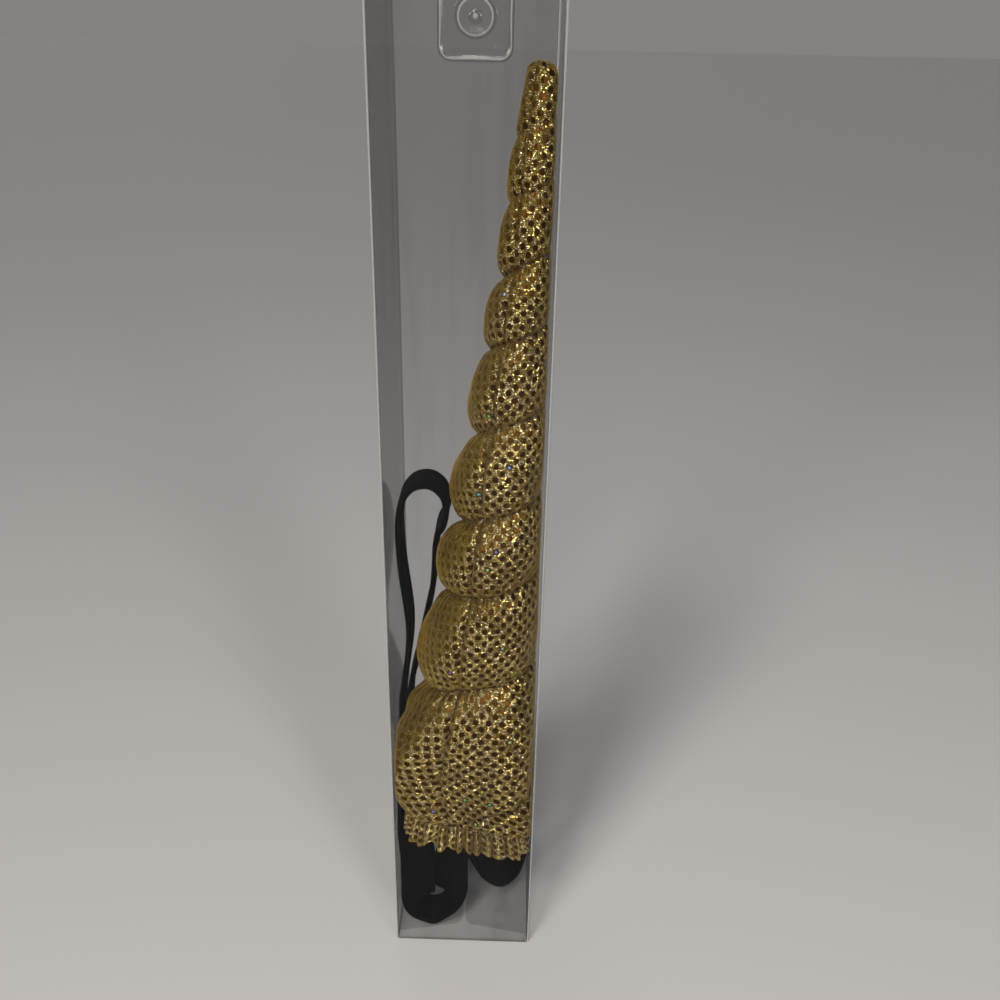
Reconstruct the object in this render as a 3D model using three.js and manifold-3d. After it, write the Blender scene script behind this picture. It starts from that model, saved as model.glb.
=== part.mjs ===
// A stuffed gold horn on a black elastic headband, folded into a tall box of clear sheet.
// Millimetres, +Z up, the box front towards -Y. The origin is the middle of the box's underside.
import * as THREE from "three";
import { mergeVertices } from "three/addons/utils/BufferGeometryUtils.js";
import Module from "manifold-3d";

const wasm = await Module();
wasm.setup();

// Driving dimensions of the clear box
const boxWidth = 50;
const boxDepth = 57;
const boxHeight = 340;
const sheet = 0.4;
const cornerSteps = 6;
const lidTuckLength = 15;
const lidTuckCorner = 6;
const lidTuckLean = 0.03;
const dustFlapLength = 50;
const dustFlapTaper = 3.5;
const dustFlapCorner = 5;
const dustFlapSplit = 1;
const padWidth = 22.6;
const padHeight = 24.5;
const padThickness = 1;
const padCorner = 4;
const padBossRadius = 5.7;
const padBossHeight = 1.5;
const padPipRadius = 0.8;
const padPipHeight = 0.5;
const padBossSides = 36;
const padPipSides = 12;
const padBelowLid = 24.2;

// Driving dimensions of the horn
const hornBaseHeight = 53;
const hornLength = 251.6;
const hornTipRadius = 4.1;
const hornBaseRadius = 27.4;
const hornSwell = 2.4;
const hornHemRadius = 22.4;
const hornHemShift = 4;
const hornMiddleY = -4;
const hornLeanBack = 9;
const hornPressShare = 0.07;
const hornBaseTilt = 0.2;
const hornTilt = 0.085;
const hemLength = 8.7;
const hemFlare = 1.2;
const hemWave = 0.8;
const hemWaves = 30;
const hemWaveDrift = 1.7;
const hemWaveDriftTurns = 3;
const clothThickness = 1;

// Driving dimensions of the elastic
const bandWidth = 13;
const bandThickness = 2;
const loopTop = 179.5;

// Fits: clearance stays between any two pieces
const clearance = 0.3;

const innerHalfWidth = boxWidth / 2 - sheet;
const innerFront = -boxDepth / 2 + sheet;
const innerRear = boxDepth / 2 - sheet;
const wallTop = boxHeight - sheet - clearance;
const flapBottom = sheet + clearance;
const bandFloor = flapBottom + sheet + clearance;

const gold = new THREE.MeshStandardMaterial({ color: 0xb8963c, roughness: 0.4, metalness: 0.7 });
const goldHem = new THREE.MeshStandardMaterial({ color: 0xc2a04a, roughness: 0.45, metalness: 0.6 });
const black = new THREE.MeshStandardMaterial({ color: 0x0b0b0d, roughness: 0.85, metalness: 0 });
const clear = new THREE.MeshStandardMaterial({
  color: 0xe4e8e8,
  roughness: 0.08,
  metalness: 0,
  transparent: true,
  opacity: 0.2,
});

function smoothStep(value) {
  const t = Math.min(1, Math.max(0, value));
  return t * t * (3 - 2 * t);
}

// The smaller of two values, with the corner between them rounded over a length
function softLeast(a, b, length) {
  const overlap = Math.max(length - Math.abs(a - b), 0) / length;
  return Math.min(a, b) - (overlap * overlap * length) / 4;
}

function softMost(a, b, length) {
  return -softLeast(-a, -b, length);
}

// Straight lines between the rows of a table, read by one column
function readTable(rows, share, column) {
  let next = rows.findIndex((row) => row.share > share);
  if (next < 0) {
    next = rows.length - 1;
  }
  next = Math.max(1, next);
  const low = rows[next - 1];
  const high = rows[next];
  const t = (share - low.share) / (high.share - low.share);
  return low[column] + (high[column] - low[column]) * t;
}

function solidOf(geometry) {
  const plain = geometry.clone();
  plain.deleteAttribute("normal");
  plain.deleteAttribute("uv");
  const merged = mergeVertices(plain);
  return new wasm.Manifold(
    new wasm.Mesh({
      numProp: 3,
      vertProperties: new Float32Array(merged.attributes.position.array),
      triVerts: new Uint32Array(merged.index.array),
    }),
  );
}

function geometryOf(solid) {
  const mesh = solid.getMesh();
  const geometry = new THREE.BufferGeometry();
  geometry.setAttribute("position", new THREE.BufferAttribute(new Float32Array(mesh.vertProperties), 3));
  geometry.setIndex(new THREE.BufferAttribute(new Uint32Array(mesh.triVerts), 1));
  geometry.computeVertexNormals();
  return geometry;
}

function geometryFrom(points, faces) {
  const geometry = new THREE.BufferGeometry();
  const flat = points.flatMap((point) => [point.x, point.y, point.z]);
  geometry.setAttribute("position", new THREE.Float32BufferAttribute(flat, 3));
  geometry.setIndex(faces);
  geometry.computeVertexNormals();
  return geometry;
}

// Two triangles for each cell between one ring of points and the next
function ringFaces(rings, around, closedLoop) {
  const faces = [];
  const last = closedLoop ? rings : rings - 1;
  for (let ring = 0; ring < last; ring += 1) {
    const below = ring * around;
    const above = ((ring + 1) % rings) * around;
    for (let step = 0; step < around; step += 1) {
      const next = (step + 1) % around;
      faces.push(below + step, below + next, above + next);
      faces.push(below + step, above + next, above + step);
    }
  }
  return faces;
}

// The winding thread of the horn. Each row is one place where the thread crosses the left
// side: its height as a share of the horn's length, and its depth as a share of the radius.
const threadCrossings = [
  { share: 0, turn: 0, depth: 0.1 },
  { share: 0.186, turn: 1, depth: 0.36 },
  { share: 0.335, turn: 2, depth: 0.29 },
  { share: 0.439, turn: 3, depth: 0.35 },
  { share: 0.561, turn: 4, depth: 0.34 },
  { share: 0.672, turn: 5, depth: 0.32 },
  { share: 0.76, turn: 6, depth: 0.4 },
  { share: 0.846, turn: 7, depth: 0.2 },
  { share: 0.918, turn: 8, depth: 0.14 },
  { share: 1, turn: 9.2, depth: 0.06 },
];
const hornRows = 84;
const hornSegments = 38;
const hornCapRows = 4;
const bulgeFullness = 2.3;
const threadDepthOnRight = 0.3;
const undersideShare = 0.09;
const swellShare = 0.3;
const tipShare = 0.975;
const squareUpTo = 0.3;
const squarePower = 3;
const squareSideBlend = 2;
const tiltUpTo = 0.18;
const pressSoftness = 1.5;
const hemSoftness = 1;
const bandEdgeRun = 3.5;
const bandEdgeRoom = 4.4;
const bandFaceRoom = 1.9 * clearance;
const bandWallRoom = 1.4 * clearance;

// Where the elastic leg passes between the horn and the left wall: the height and the middle
// depth of the leg, as shares of the horn's base height, the loop and the box's inner half depth
const legLow = { height: 1.04 * hornBaseHeight, depth: -0.47 * innerRear };
const legHigh = { height: 0.525 * loopTop, depth: 0.02 * innerRear };
const legInset = innerHalfWidth - bandWallRoom - bandThickness / 2;

function legDepth(height) {
  const t = smoothStep((height - legLow.height) / (legHigh.height - legLow.height));
  return legLow.depth + (legHigh.depth - legLow.depth) * t;
}

// The stuffing is pressed flat by the walls, and on the left by the elastic beside it
function pressedByWalls(point) {
  const bandEdge = legDepth(point.z) - bandWidth / 2;
  const room = smoothStep((point.y - bandEdge + bandEdgeRoom + bandEdgeRun) / bandEdgeRun);
  const left = -innerHalfWidth + clearance + room * (bandThickness + bandFaceRoom);
  point.x = softLeast(point.x, innerHalfWidth - clearance, pressSoftness);
  point.x = softMost(point.x, left, pressSoftness);
  point.y = softMost(point.y, innerFront + clearance, pressSoftness);
  return point;
}

function coneRadius(share) {
  const cone = hornBaseRadius + (hornTipRadius - hornBaseRadius) * Math.min(1, share / tipShare);
  return cone + hornSwell * smoothStep(1 - share / swellShare);
}

// The cone draws in under its lowest bulge to the stitched base
function hornFullRadius(share) {
  const under = Math.max(0, 1 - share / undersideShare);
  return hornHemRadius + (coneRadius(share) - hornHemRadius) * Math.sqrt(1 - under * under);
}

function hornMiddle(share) {
  const radius = coneRadius(share);
  const shift = hornHemShift * smoothStep(1 - share / undersideShare);
  return {
    x: innerHalfWidth - clearance - radius * (1 - hornPressShare) + shift,
    y: hornMiddleY + hornLeanBack * share,
  };
}

// The lower horn fills the front corners of the box: its section there is nearly square
function squareness(share, angle) {
  const power = 2 + squarePower * smoothStep(1 - share / squareUpTo) * smoothStep(-squareSideBlend * Math.sin(angle));
  return (Math.abs(Math.cos(angle)) ** power + Math.abs(Math.sin(angle)) ** power) ** (-1 / power);
}

// Sections lie square to the leaning horn, and the stitched base is a little steeper
function tiltAt(share) {
  return hornTilt + (hornBaseTilt - hornTilt) * smoothStep(1 - share / tiltUpTo);
}

// One point of the horn: a leaning cone whose radius dips along a rising thread, and which
// the walls press flat. closing scales the radius to round the tip.
function hornPoint(share, angle, closing) {
  const crossing = readTable(threadCrossings, share, "turn") - (angle - Math.PI) / (2 * Math.PI);
  const within = crossing - Math.floor(crossing);
  const bulge = 1 - Math.abs(2 * within - 1) ** bulgeFullness;
  const side = threadDepthOnRight + (1 - threadDepthOnRight) * (0.5 - 0.5 * Math.cos(angle));
  const depth = readTable(threadCrossings, share, "depth") * side;
  const full = hornFullRadius(share) * squareness(share, angle);
  const radius = full * (1 - depth * (1 - bulge)) * closing;
  const middle = hornMiddle(share);
  const point = new THREE.Vector3(
    middle.x + radius * Math.cos(angle),
    middle.y + radius * Math.sin(angle),
    hornBaseHeight + share * hornLength - tiltAt(share) * radius * Math.cos(angle),
  );
  return pressedByWalls(point);
}

function makeHorn() {
  const points = [];
  const capStart = 1 - hornTipRadius / hornLength;
  const rings = [];
  for (let row = 0; row <= hornRows; row += 1) {
    rings.push({ share: capStart * (row / hornRows), closing: 1 });
  }
  for (let row = 1; row <= hornCapRows; row += 1) {
    const turn = (row / (hornCapRows + 1)) * (Math.PI / 2);
    const share = capStart + (1 - capStart) * Math.sin(turn);
    rings.push({ share, closing: Math.cos(turn) });
  }
  for (const ring of rings) {
    for (let step = 0; step < hornSegments; step += 1) {
      points.push(hornPoint(ring.share, (step / hornSegments) * 2 * Math.PI, ring.closing));
    }
  }
  const faces = ringFaces(rings.length, hornSegments, false);
  const bottom = points.length;
  const baseMiddle = hornMiddle(0);
  points.push(new THREE.Vector3(baseMiddle.x, baseMiddle.y, hornBaseHeight));
  const top = points.length;
  const tipMiddle = hornMiddle(1);
  points.push(new THREE.Vector3(tipMiddle.x, tipMiddle.y, hornBaseHeight + hornLength));
  const lastRing = (rings.length - 1) * hornSegments;
  for (let step = 0; step < hornSegments; step += 1) {
    const next = (step + 1) % hornSegments;
    faces.push(bottom, next, step);
    faces.push(top, lastRing + step, lastRing + next);
  }
  return geometryFrom(points, faces);
}

// The gathered edge of the cloth below the horn's stitched base: a thin wavy skirt
const hemStepsPerWave = 6;
const hemSegments = hemWaves * hemStepsPerWave;
const hemRows = 3;

function hemPoint(drop, angle, inset) {
  const wave = hemWave * drop * Math.sin(hemWaves * angle + hemWaveDrift * Math.sin(hemWaveDriftTurns * angle));
  const full = (hornHemRadius + hemFlare * drop) * squareness(0, angle);
  const radius = full + wave - inset;
  const middle = hornMiddle(0);
  const point = new THREE.Vector3(
    middle.x + radius * Math.cos(angle),
    middle.y + radius * Math.sin(angle),
    hornBaseHeight - hornBaseTilt * radius * Math.cos(angle) - clearance - drop * hemLength,
  );
  const left = -innerHalfWidth + clearance + bandThickness + bandFaceRoom + inset;
  point.x = softLeast(point.x, innerHalfWidth - clearance - inset, hemSoftness);
  point.x = softMost(point.x, left, hemSoftness);
  point.y = softMost(point.y, innerFront + clearance + inset, hemSoftness);
  return point;
}

function makeHem() {
  const points = [];
  for (let row = 0; row <= hemRows; row += 1) {
    for (let step = 0; step < hemSegments; step += 1) {
      points.push(hemPoint(row / hemRows, (step / hemSegments) * 2 * Math.PI, 0));
    }
  }
  for (let row = hemRows; row >= 0; row -= 1) {
    for (let step = 0; step < hemSegments; step += 1) {
      points.push(hemPoint(row / hemRows, (step / hemSegments) * 2 * Math.PI, clothThickness));
    }
  }
  const faces = ringFaces(2 * (hemRows + 1), hemSegments, true);
  for (let face = 0; face < faces.length; face += 3) {
    [faces[face + 1], faces[face + 2]] = [faces[face + 2], faces[face + 1]];
  }
  return geometryFrom(points, faces);
}

// The route of the elastic's middle line, once round. across is a share of the inner half
// width, back a share of the inner half depth. up is a share of the height named beside it:
// the horn's stitched base for the folds under the horn, the loop's top for the loop.
const underBase = hornBaseHeight - clearance - bandThickness / 2;
const loopMiddle = loopTop - bandThickness / 2;
const foldMiddle = bandFloor + bandThickness / 2;
const bandStations = [
  // stitched stretch under the horn's base
  { across: 0.4, back: -0.18, from: underBase, up: 0.93 },
  { across: 0.25, back: -0.33, from: underBase, up: 0.94 },
  { across: 0.11, back: -0.45, from: underBase, up: 0.94 },
  // front fold, down and round near the front wall
  { across: 0, back: -0.55, from: underBase, up: 0.9 },
  { across: -0.09, back: -0.53, from: underBase, up: 0.74 },
  { across: -0.2, back: -0.5, from: underBase, up: 0.54 },
  { across: -0.21, back: -0.5, from: underBase, up: 0.32 },
  { across: -0.22, back: -0.54, from: underBase, up: 0.14 },
  { across: -0.46, back: -0.57, from: foldMiddle, up: 1.05 },
  { across: -0.7, back: -0.61, from: underBase, up: 0.14 },
  { across: -0.705, back: -0.65, from: underBase, up: 0.32 },
  { across: -0.705, back: -0.65, from: underBase, up: 0.54 },
  { across: -0.72, back: -0.63, from: underBase, up: 0.7 },
  // left leg, up the wall beside the horn
  { across: -0.82, back: -0.6, from: underBase, up: 0.8 },
  { across: -0.925, back: -0.57, from: underBase, up: 0.885 },
  { across: -0.94, back: -0.55, from: underBase, up: 0.94 },
];

// The leg's stations between its two named places are worked out from them
for (const t of [0, 0.25, 0.5, 0.75, 1]) {
  const height = legLow.height + (legHigh.height - legLow.height) * t;
  bandStations.push({ across: -legInset / innerHalfWidth, back: legDepth(height) / innerRear, from: height, up: 1 });
}

bandStations.push(
  { across: -0.885, back: 0.02, from: loopMiddle, up: 0.588 },
  { across: -0.83, back: 0.02, from: loopMiddle, up: 0.65 },
  { across: -0.82, back: 0.02, from: loopMiddle, up: 0.7 },
  { across: -0.85, back: 0.02, from: loopMiddle, up: 0.75 },
  { across: -0.9, back: 0.02, from: loopMiddle, up: 0.81 },
  { across: -0.93, back: 0.02, from: loopMiddle, up: 0.87 },
  { across: -0.93, back: 0.02, from: loopMiddle, up: 0.925 },
  // top of the loop
  { across: -0.86, back: 0.02, from: loopMiddle, up: 0.972 },
  { across: -0.7, back: 0.02, from: loopMiddle, up: 0.997 },
  { across: -0.5, back: 0.02, from: loopMiddle, up: 1 },
  { across: -0.345, back: 0.03, from: loopMiddle, up: 0.982 },
  { across: -0.295, back: 0.07, from: loopMiddle, up: 0.95 },
  // right leg, down behind the horn
  { across: -0.32, back: 0.14, from: loopMiddle, up: 0.92 },
  { across: -0.412, back: 0.305, from: loopMiddle, up: 0.885 },
  { across: -0.469, back: 0.45, from: loopMiddle, up: 0.845 },
  { across: -0.495, back: 0.54, from: loopMiddle, up: 0.8 },
  { across: -0.54, back: 0.6, from: loopMiddle, up: 0.73 },
  { across: -0.65, back: 0.66, from: loopMiddle, up: 0.65 },
  { across: -0.78, back: 0.7, from: loopMiddle, up: 0.56 },
  { across: -0.91, back: 0.72, from: loopMiddle, up: 0.47 },
  { across: -0.93, back: 0.72, from: loopMiddle, up: 0.38 },
  { across: -0.88, back: 0.69, from: underBase, up: 1.04 },
  // diagonal under the base to the right fold
  { across: -0.72, back: 0.62, from: underBase, up: 0.8 },
  { across: -0.4, back: 0.38, from: underBase, up: 0.6 },
  { across: -0.04, back: 0.18, from: underBase, up: 0.42 },
  { across: 0.13, back: 0.13, from: underBase, up: 0.26 },
  { across: 0.32, back: 0.11, from: underBase, up: 0.11 },
  { across: 0.56, back: 0.11, from: foldMiddle, up: 1 },
  { across: 0.77, back: 0.11, from: underBase, up: 0.13 },
  { across: 0.89, back: 0.11, from: underBase, up: 0.28 },
  { across: 0.92, back: 0.1, from: underBase, up: 0.44 },
  { across: 0.82, back: 0.07, from: underBase, up: 0.62 },
  { across: 0.71, back: 0.02, from: underBase, up: 0.78 },
  { across: 0.64, back: -0.02, from: underBase, up: 0.875 },
  { across: 0.54, back: -0.08, from: underBase, up: 0.92 },
);
const bandSteps = 170;

// Both limbs of the front fold twist as they rise from the floor, and face the front halfway up
const frontFoldTurn = 80 * (Math.PI / 180);
const frontFoldTwist = { from: 4, over: 11, until: 47, back: 14, nearFront: -8, blend: 4 };

function twistAt(middle) {
  const rise = smoothStep((middle.z - frontFoldTwist.from) / frontFoldTwist.over);
  const fall = smoothStep((frontFoldTwist.until - middle.z) / frontFoldTwist.back);
  const near = smoothStep((frontFoldTwist.nearFront - middle.y) / frontFoldTwist.blend);
  return -frontFoldTurn * rise * fall * near;
}

function makeHeadband() {
  const middles = bandStations.map(
    (station) =>
      new THREE.Vector3(station.across * innerHalfWidth, station.back * innerRear, station.from * station.up),
  );
  const route = new THREE.CatmullRomCurve3(middles, true, "centripetal");
  const points = [];
  const backwards = new THREE.Vector3(0, 1, 0);
  for (let step = 0; step < bandSteps; step += 1) {
    const middle = route.getPointAt(step / bandSteps);
    const along = route.getTangentAt(step / bandSteps);
    const face = new THREE.Vector3().crossVectors(along, backwards).normalize();
    const wide = new THREE.Vector3().crossVectors(face, along).normalize();
    const twist = twistAt(middle);
    face.applyAxisAngle(along, twist);
    wide.applyAxisAngle(along, twist);
    face.multiplyScalar(bandThickness / 2);
    wide.multiplyScalar(bandWidth / 2);
    points.push(middle.clone().add(face).sub(wide));
    points.push(middle.clone().sub(face).sub(wide));
    points.push(middle.clone().sub(face).add(wide));
    points.push(middle.clone().add(face).add(wide));
  }
  return geometryFrom(points, ringFaces(bandSteps, 4, true));
}

function block(width, depth, height, x, y, z) {
  const geometry = new THREE.BoxGeometry(width, depth, height);
  geometry.translate(x, y, z);
  return geometry;
}

// Four walls and a floor of clear sheet, open at the top
function makeBoxBody() {
  const outside = block(boxWidth, boxDepth, wallTop, 0, 0, wallTop / 2);
  const hollow = block(
    boxWidth - 2 * sheet,
    boxDepth - 2 * sheet,
    wallTop,
    0,
    0,
    wallTop / 2 + sheet,
  );
  return geometryOf(solidOf(outside).subtract(solidOf(hollow)));
}

// The lid's panel and its tuck flap. The flap slopes inwards, so that its free edge clears
// the front wall as the lid turns about its rear crease.
const hingeY = boxDepth / 2 - sheet / 2;
const hingeZ = boxHeight - sheet / 2;
const lidReach = hingeY - innerFront - clearance;
const lidTuckSlope = Math.asin(lidTuckLength / (2 * lidReach)) + lidTuckLean;

function makeLid() {
  const panel = block(boxWidth, lidReach, sheet, 0, hingeY - lidReach / 2, hingeZ);
  const halfWidth = innerHalfWidth - clearance;
  const corner = lidTuckCorner;
  const outline = new THREE.Shape();
  outline.moveTo(-halfWidth, 0);
  outline.lineTo(-halfWidth, -lidTuckLength + corner);
  outline.quadraticCurveTo(-halfWidth, -lidTuckLength, -halfWidth + corner, -lidTuckLength);
  outline.lineTo(halfWidth - corner, -lidTuckLength);
  outline.quadraticCurveTo(halfWidth, -lidTuckLength, halfWidth, -lidTuckLength + corner);
  outline.lineTo(halfWidth, 0);
  outline.closePath();
  const flap = new THREE.ExtrudeGeometry(outline, { depth: sheet, bevelEnabled: false, curveSegments: cornerSteps });
  // the outline stands upright, with its thickness behind it, and leans in at the foot
  flap.rotateX(Math.PI / 2 + lidTuckSlope);
  flap.translate(0, innerFront + clearance + sheet, hingeZ);
  return geometryOf(solidOf(panel).add(solidOf(flap)));
}

// One dust flap lying on the floor: a strip that narrows from its crease, with round corners
function makeDustFlap(side) {
  const crease = innerHalfWidth - clearance;
  const free = dustFlapSplit / 2;
  const halfLong = dustFlapLength / 2;
  const corner = dustFlapCorner;
  const outline = new THREE.Shape();
  outline.moveTo(crease, -halfLong);
  outline.lineTo(crease, halfLong);
  outline.lineTo(free + corner, halfLong - dustFlapTaper);
  outline.quadraticCurveTo(free, halfLong - dustFlapTaper, free, halfLong - dustFlapTaper - corner);
  outline.lineTo(free, -halfLong + dustFlapTaper + corner);
  outline.quadraticCurveTo(free, -halfLong + dustFlapTaper, free + corner, -halfLong + dustFlapTaper);
  outline.closePath();
  const geometry = new THREE.ExtrudeGeometry(outline, { depth: sheet, bevelEnabled: false, curveSegments: cornerSteps });
  if (side < 0) {
    geometry.rotateZ(Math.PI);
  }
  geometry.translate(0, 0, flapBottom);
  return geometry;
}

// A moulded rounded square with a round boss, against the inside of the rear wall
function makeRearPad() {
  const halfWidth = padWidth / 2;
  const halfHeight = padHeight / 2;
  const outline = new THREE.Shape();
  outline.moveTo(-halfWidth + padCorner, -halfHeight);
  outline.lineTo(halfWidth - padCorner, -halfHeight);
  outline.absarc(halfWidth - padCorner, -halfHeight + padCorner, padCorner, -Math.PI / 2, 0, false);
  outline.absarc(halfWidth - padCorner, halfHeight - padCorner, padCorner, 0, Math.PI / 2, false);
  outline.absarc(-halfWidth + padCorner, halfHeight - padCorner, padCorner, Math.PI / 2, Math.PI, false);
  outline.absarc(-halfWidth + padCorner, -halfHeight + padCorner, padCorner, Math.PI, 1.5 * Math.PI, false);
  const plate = new THREE.ExtrudeGeometry(outline, {
    depth: padThickness,
    bevelEnabled: false,
    curveSegments: cornerSteps,
  });
  const bossLength = padBossHeight + padThickness;
  const boss = new THREE.CylinderGeometry(padBossRadius, padBossRadius, bossLength, padBossSides);
  boss.rotateX(Math.PI / 2);
  boss.translate(0, 0, bossLength / 2);
  const pipLength = padPipHeight + bossLength;
  const pip = new THREE.CylinderGeometry(padPipRadius, padPipRadius, pipLength, padPipSides);
  pip.rotateX(Math.PI / 2);
  pip.translate(0, 0, pipLength / 2);
  const geometry = geometryOf(solidOf(plate).add(solidOf(boss)).add(solidOf(pip)));
  // the plate's own depth points to the front
  geometry.rotateX(Math.PI / 2);
  geometry.translate(0, innerRear - clearance, wallTop - padBelowLid);
  return geometry;
}

const part = new THREE.Group();

function addPiece(name, geometry, material) {
  const mesh = new THREE.Mesh(geometry, material);
  mesh.name = name;
  part.add(mesh);
}

addPiece("horn_body", makeHorn(), gold);
addPiece("horn_hem", makeHem(), goldHem);
addPiece("headband_elastic", makeHeadband(), black);
addPiece("box_body", makeBoxBody(), clear);
addPiece("box_lid", makeLid(), clear);
addPiece("floor_flap_left", makeDustFlap(-1), clear);
addPiece("floor_flap_right", makeDustFlap(1), clear);
addPiece("rear_pad", makeRearPad(), clear);

export default part;
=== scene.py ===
import math

import bpy
import numpy as np
from mathutils import Matrix, Vector


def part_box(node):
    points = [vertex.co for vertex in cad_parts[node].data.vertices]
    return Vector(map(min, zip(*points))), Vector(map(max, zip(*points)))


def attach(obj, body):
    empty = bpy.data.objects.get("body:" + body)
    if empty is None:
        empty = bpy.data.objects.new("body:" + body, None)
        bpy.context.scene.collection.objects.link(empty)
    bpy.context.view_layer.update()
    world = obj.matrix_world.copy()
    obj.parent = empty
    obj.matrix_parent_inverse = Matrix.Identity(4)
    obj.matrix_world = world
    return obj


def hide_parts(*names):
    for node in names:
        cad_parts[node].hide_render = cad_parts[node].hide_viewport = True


mm = 0.001
fullTurn = 2 * math.pi

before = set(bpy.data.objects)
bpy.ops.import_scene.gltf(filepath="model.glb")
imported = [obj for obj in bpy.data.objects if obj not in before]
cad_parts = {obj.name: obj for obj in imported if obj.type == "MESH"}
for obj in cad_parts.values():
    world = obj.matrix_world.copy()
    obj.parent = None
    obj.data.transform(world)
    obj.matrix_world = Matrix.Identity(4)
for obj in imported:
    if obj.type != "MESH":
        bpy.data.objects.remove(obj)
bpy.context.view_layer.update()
print("frame loaded:", ", ".join(sorted(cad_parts)))

wallLow, wallHigh = (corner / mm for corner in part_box("box_body"))
hornLow, hornHigh = (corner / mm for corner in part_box("horn_body"))
bandLow, bandHigh = (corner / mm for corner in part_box("headband_elastic"))
padLow, padHigh = (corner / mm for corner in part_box("rear_pad"))

# the sheet of the box and the air between any two pieces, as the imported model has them
sheetThickness = 0.4
clearance = 0.3
innerHalfWidth = wallHigh.x - sheetThickness
innerHalfDepth = wallHigh.y - sheetThickness


# Camera

camera = {
    "place": (14.3, -295.6, 314.9),
    "pitchDown": math.radians(25.8),
    "turn": math.radians(0.76),
    "roll": math.radians(1.19),
    "lens": 35.93,
    "sensor": 36,
}


def placeCamera():
    data = bpy.data.cameras.new("camera")
    data.sensor_width = camera["sensor"]
    data.lens = camera["lens"]
    data.clip_start = 0.01
    data.clip_end = 50
    seen = bpy.data.objects.new("camera", data)
    look = (
        Matrix.Rotation(camera["turn"], 4, "Z")
        @ Matrix.Rotation(math.pi / 2 - camera["pitchDown"], 4, "X")
        @ Matrix.Rotation(camera["roll"], 4, "Z")
    )
    seen.matrix_world = Matrix.Translation(Vector(camera["place"]) * mm) @ look
    bpy.context.scene.collection.objects.link(seen)
    bpy.context.scene.camera = seen


placeCamera()
print("camera placed")


# Meshes from grids of points


def smoothStep(value):
    t = np.clip(value, 0, 1)
    return t * t * (3 - 2 * t)


# The smaller of two values, with the corner between them rounded over a length
def softLeast(a, b, length):
    overlap = np.maximum(length - np.abs(a - b), 0) / length
    return np.minimum(a, b) - overlap * overlap * length / 4


def softMost(a, b, length):
    return -softLeast(-a, -b, length)


# Quads between neighbours of a rows by columns grid of points in millimetres. A pole is one
# point that the first or last row closes to. uv has one more column where columns wrap,
# and one more row where rows wrap.
def gridMesh(name, points, uv=None, wrapColumns=True, wrapRows=False, lowPole=None, highPole=None):
    rows, columns = points.shape[:2]
    row = np.arange(rows if wrapRows else rows - 1)[:, None]
    column = np.arange(columns if wrapColumns else columns - 1)[None, :]
    nextColumn = (column + 1) % columns
    nextRow = (row + 1) % rows
    quads = np.stack(
        [row * columns + column, row * columns + nextColumn, nextRow * columns + nextColumn, nextRow * columns + column],
        axis=-1,
    ).reshape(-1, 4)
    spots = points.reshape(-1, 3)
    faces = quads.tolist()
    corners = []
    if uv is not None:
        corners.append(
            np.stack(
                [uv[row, column], uv[row, column + 1], uv[row + 1, column + 1], uv[row + 1, column]],
                axis=2,
            ).reshape(-1, 2)
        )
    edge = np.arange(columns)
    for pole, ring, inward in ((lowPole, 0, True), (highPole, rows - 1, False)):
        if pole is None:
            continue
        spots = np.vstack([spots, np.array(pole)[None, :]])
        peak = np.full(columns, len(spots) - 1)
        here = ring * columns + edge
        after = ring * columns + (edge + 1) % columns
        fan = np.stack([peak, after, here] if inward else [peak, here, after], axis=-1)
        faces += fan.tolist()
        if uv is not None:
            middle = (uv[ring, edge] + uv[ring, edge + 1]) / 2
            pair = [uv[ring, edge + 1], uv[ring, edge]] if inward else [uv[ring, edge], uv[ring, edge + 1]]
            corners.append(np.stack([middle, *pair], axis=1).reshape(-1, 2))
    mesh = bpy.data.meshes.new(name)
    mesh.from_pydata((spots * mm).tolist(), [], faces)
    mesh.polygons.foreach_set("use_smooth", np.ones(len(mesh.polygons), bool))
    if uv is not None:
        layer = mesh.uv_layers.new(name="cloth")
        layer.data.foreach_set("uv", np.concatenate(corners).astype(np.float32).ravel())
    mesh.update()
    return mesh


# One value a point, for a material to read. values holds a row for each row of points.
def markPoints(mesh, name, values):
    marks = mesh.attributes.new(name, "FLOAT", "POINT")
    flat = np.zeros(len(mesh.vertices), np.float32)
    flat[: values.size] = values.ravel()
    marks.data.foreach_set("value", flat)


def addPiece(name, mesh, body, replaced=()):
    piece = bpy.data.objects.new(name, mesh)
    bpy.context.scene.collection.objects.link(piece)
    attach(piece, body)
    if replaced:
        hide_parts(*replaced)
    return piece


# Materials: small helpers that place and join nodes


def addNode(tree, kind, x, y, **settings):
    made = tree.nodes.new(kind)
    made.location = (x, y)
    for name, value in settings.items():
        setattr(made, name, value)
    return made


def feed(tree, value, socket):
    if isinstance(value, bpy.types.NodeSocket):
        tree.links.new(value, socket)
    else:
        socket.default_value = value


# One Math node: its operation and its inputs, which are sockets or numbers
def math2(tree, operation, x, y, first, second=0.0, third=0.0, clamp=False):
    made = addNode(tree, "ShaderNodeMath", x, y, operation=operation, use_clamp=clamp)
    for value, socket in zip((first, second, third), made.inputs):
        feed(tree, value, socket)
    return made.outputs[0]


def vector2(tree, operation, x, y, first, second=(0.0, 0.0, 0.0), scale=None):
    made = addNode(tree, "ShaderNodeVectorMath", x, y, operation=operation)
    feed(tree, first, made.inputs[0])
    feed(tree, second, made.inputs[1])
    if scale is not None:
        feed(tree, scale, made.inputs["Scale"])
    return made.outputs["Value"] if operation in ("LENGTH", "DOT_PRODUCT") else made.outputs["Vector"]


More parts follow.
